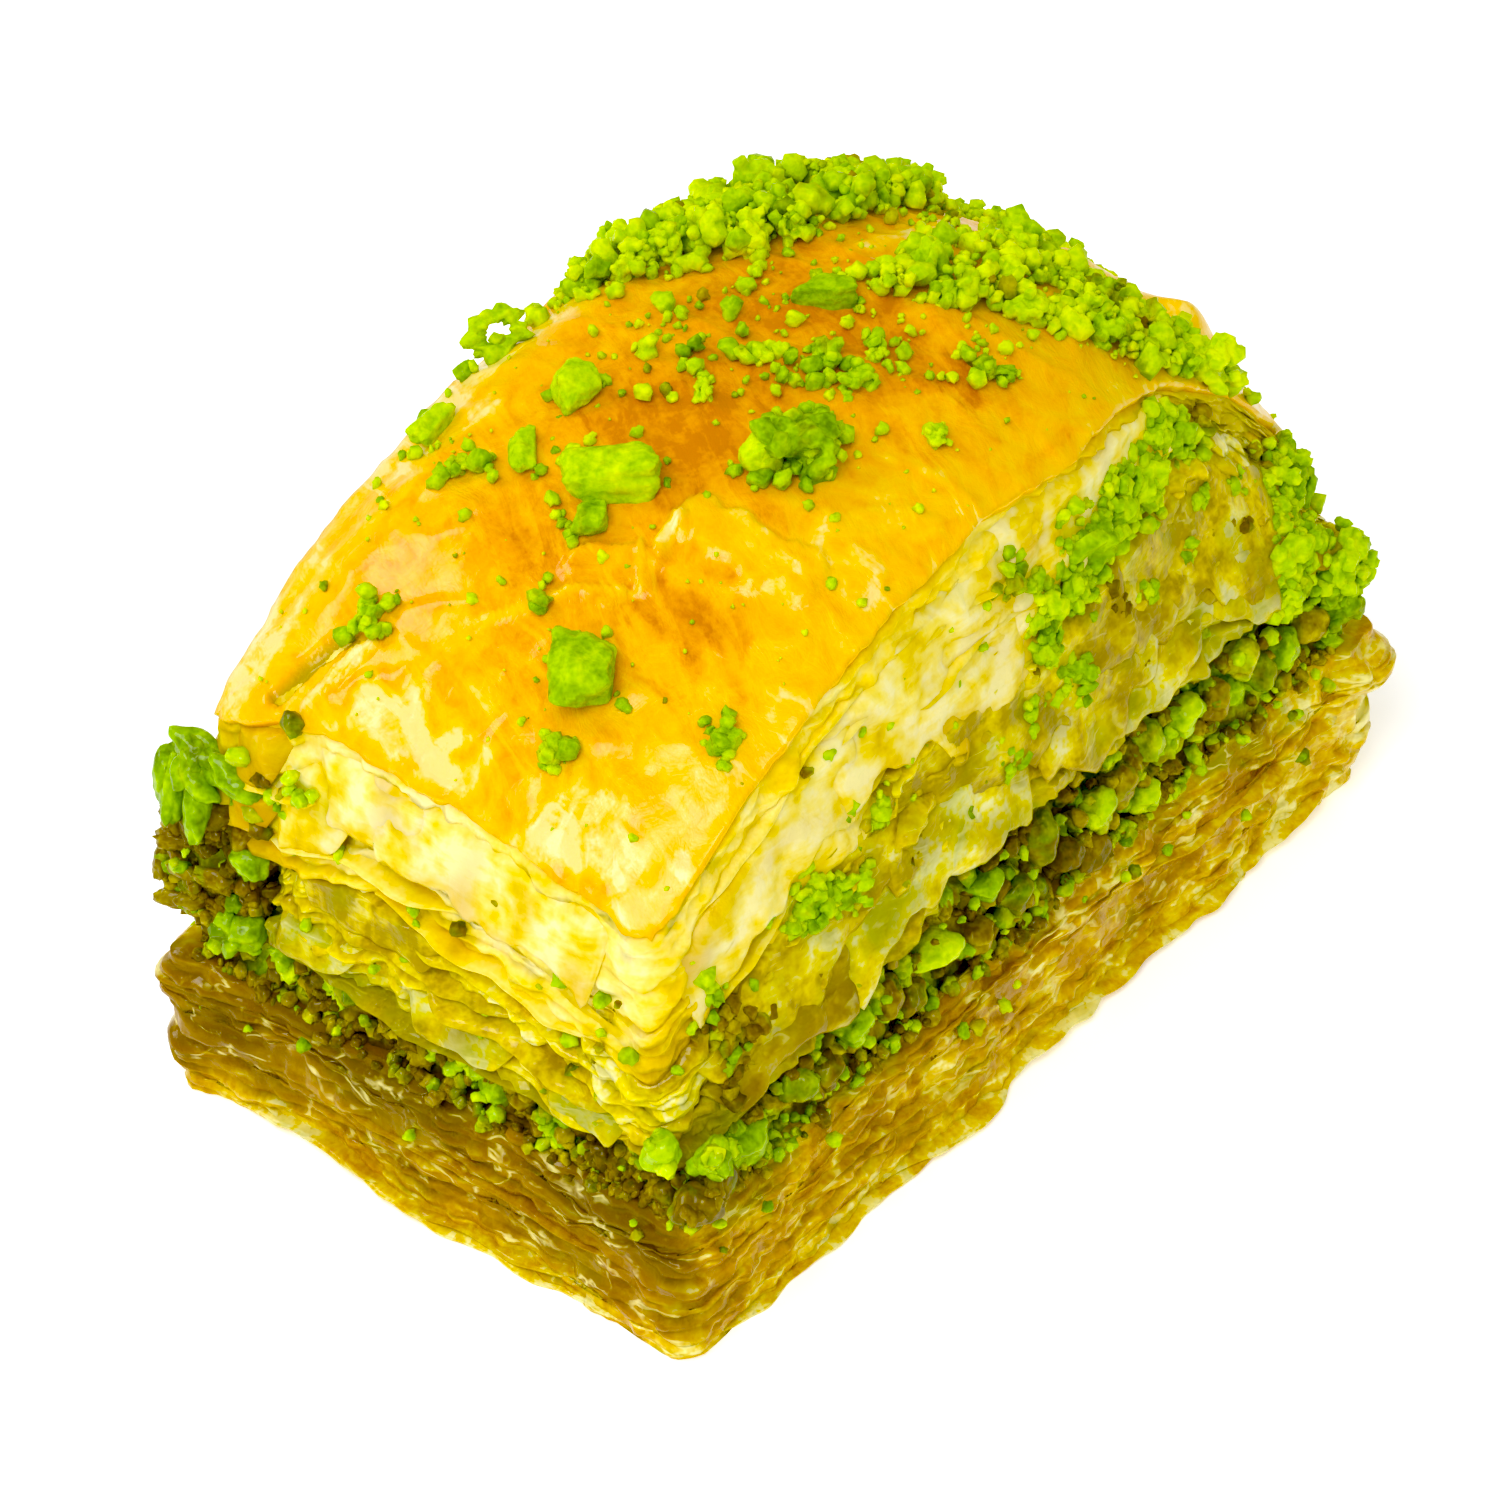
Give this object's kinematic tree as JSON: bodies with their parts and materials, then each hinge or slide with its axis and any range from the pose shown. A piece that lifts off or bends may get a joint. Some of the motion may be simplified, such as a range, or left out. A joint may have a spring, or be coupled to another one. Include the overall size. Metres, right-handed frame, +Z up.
{
  "type": "piece of pistachio baklava",
  "caption": "Rectangular piece of pistachio baklava with a domed golden crust, puffed and soaked pastry leaves, a band of crushed nuts and green crumbs on top.",
  "frame": {"origin": "middle of the flat underside", "axes": "+X along the length towards the end that carries the most crumbs, +Y along the width, +Z up"},
  "size_m": [0.0548, 0.0337, 0.0344],
  "materials": {
    "soaked_pastry": "pastry leaves soaked through with syrup, amber and glossy",
    "pistachio": "crushed pistachios, green with brown skins, moist",
    "syrupy_pastry": "thin soaked pastry leaves, greenish yellow and half clear",
    "golden_crust": "baked butter-glazed crust over pale puffed leaves, glossy with syrup"
  },
  "bodies": {
    "root": {"base_pastry": "soaked_pastry", "pistachio_filling": "pistachio", "middle_pastry": "syrupy_pastry", "top_pastry": "golden_crust"}
  },
  "joints": []
}
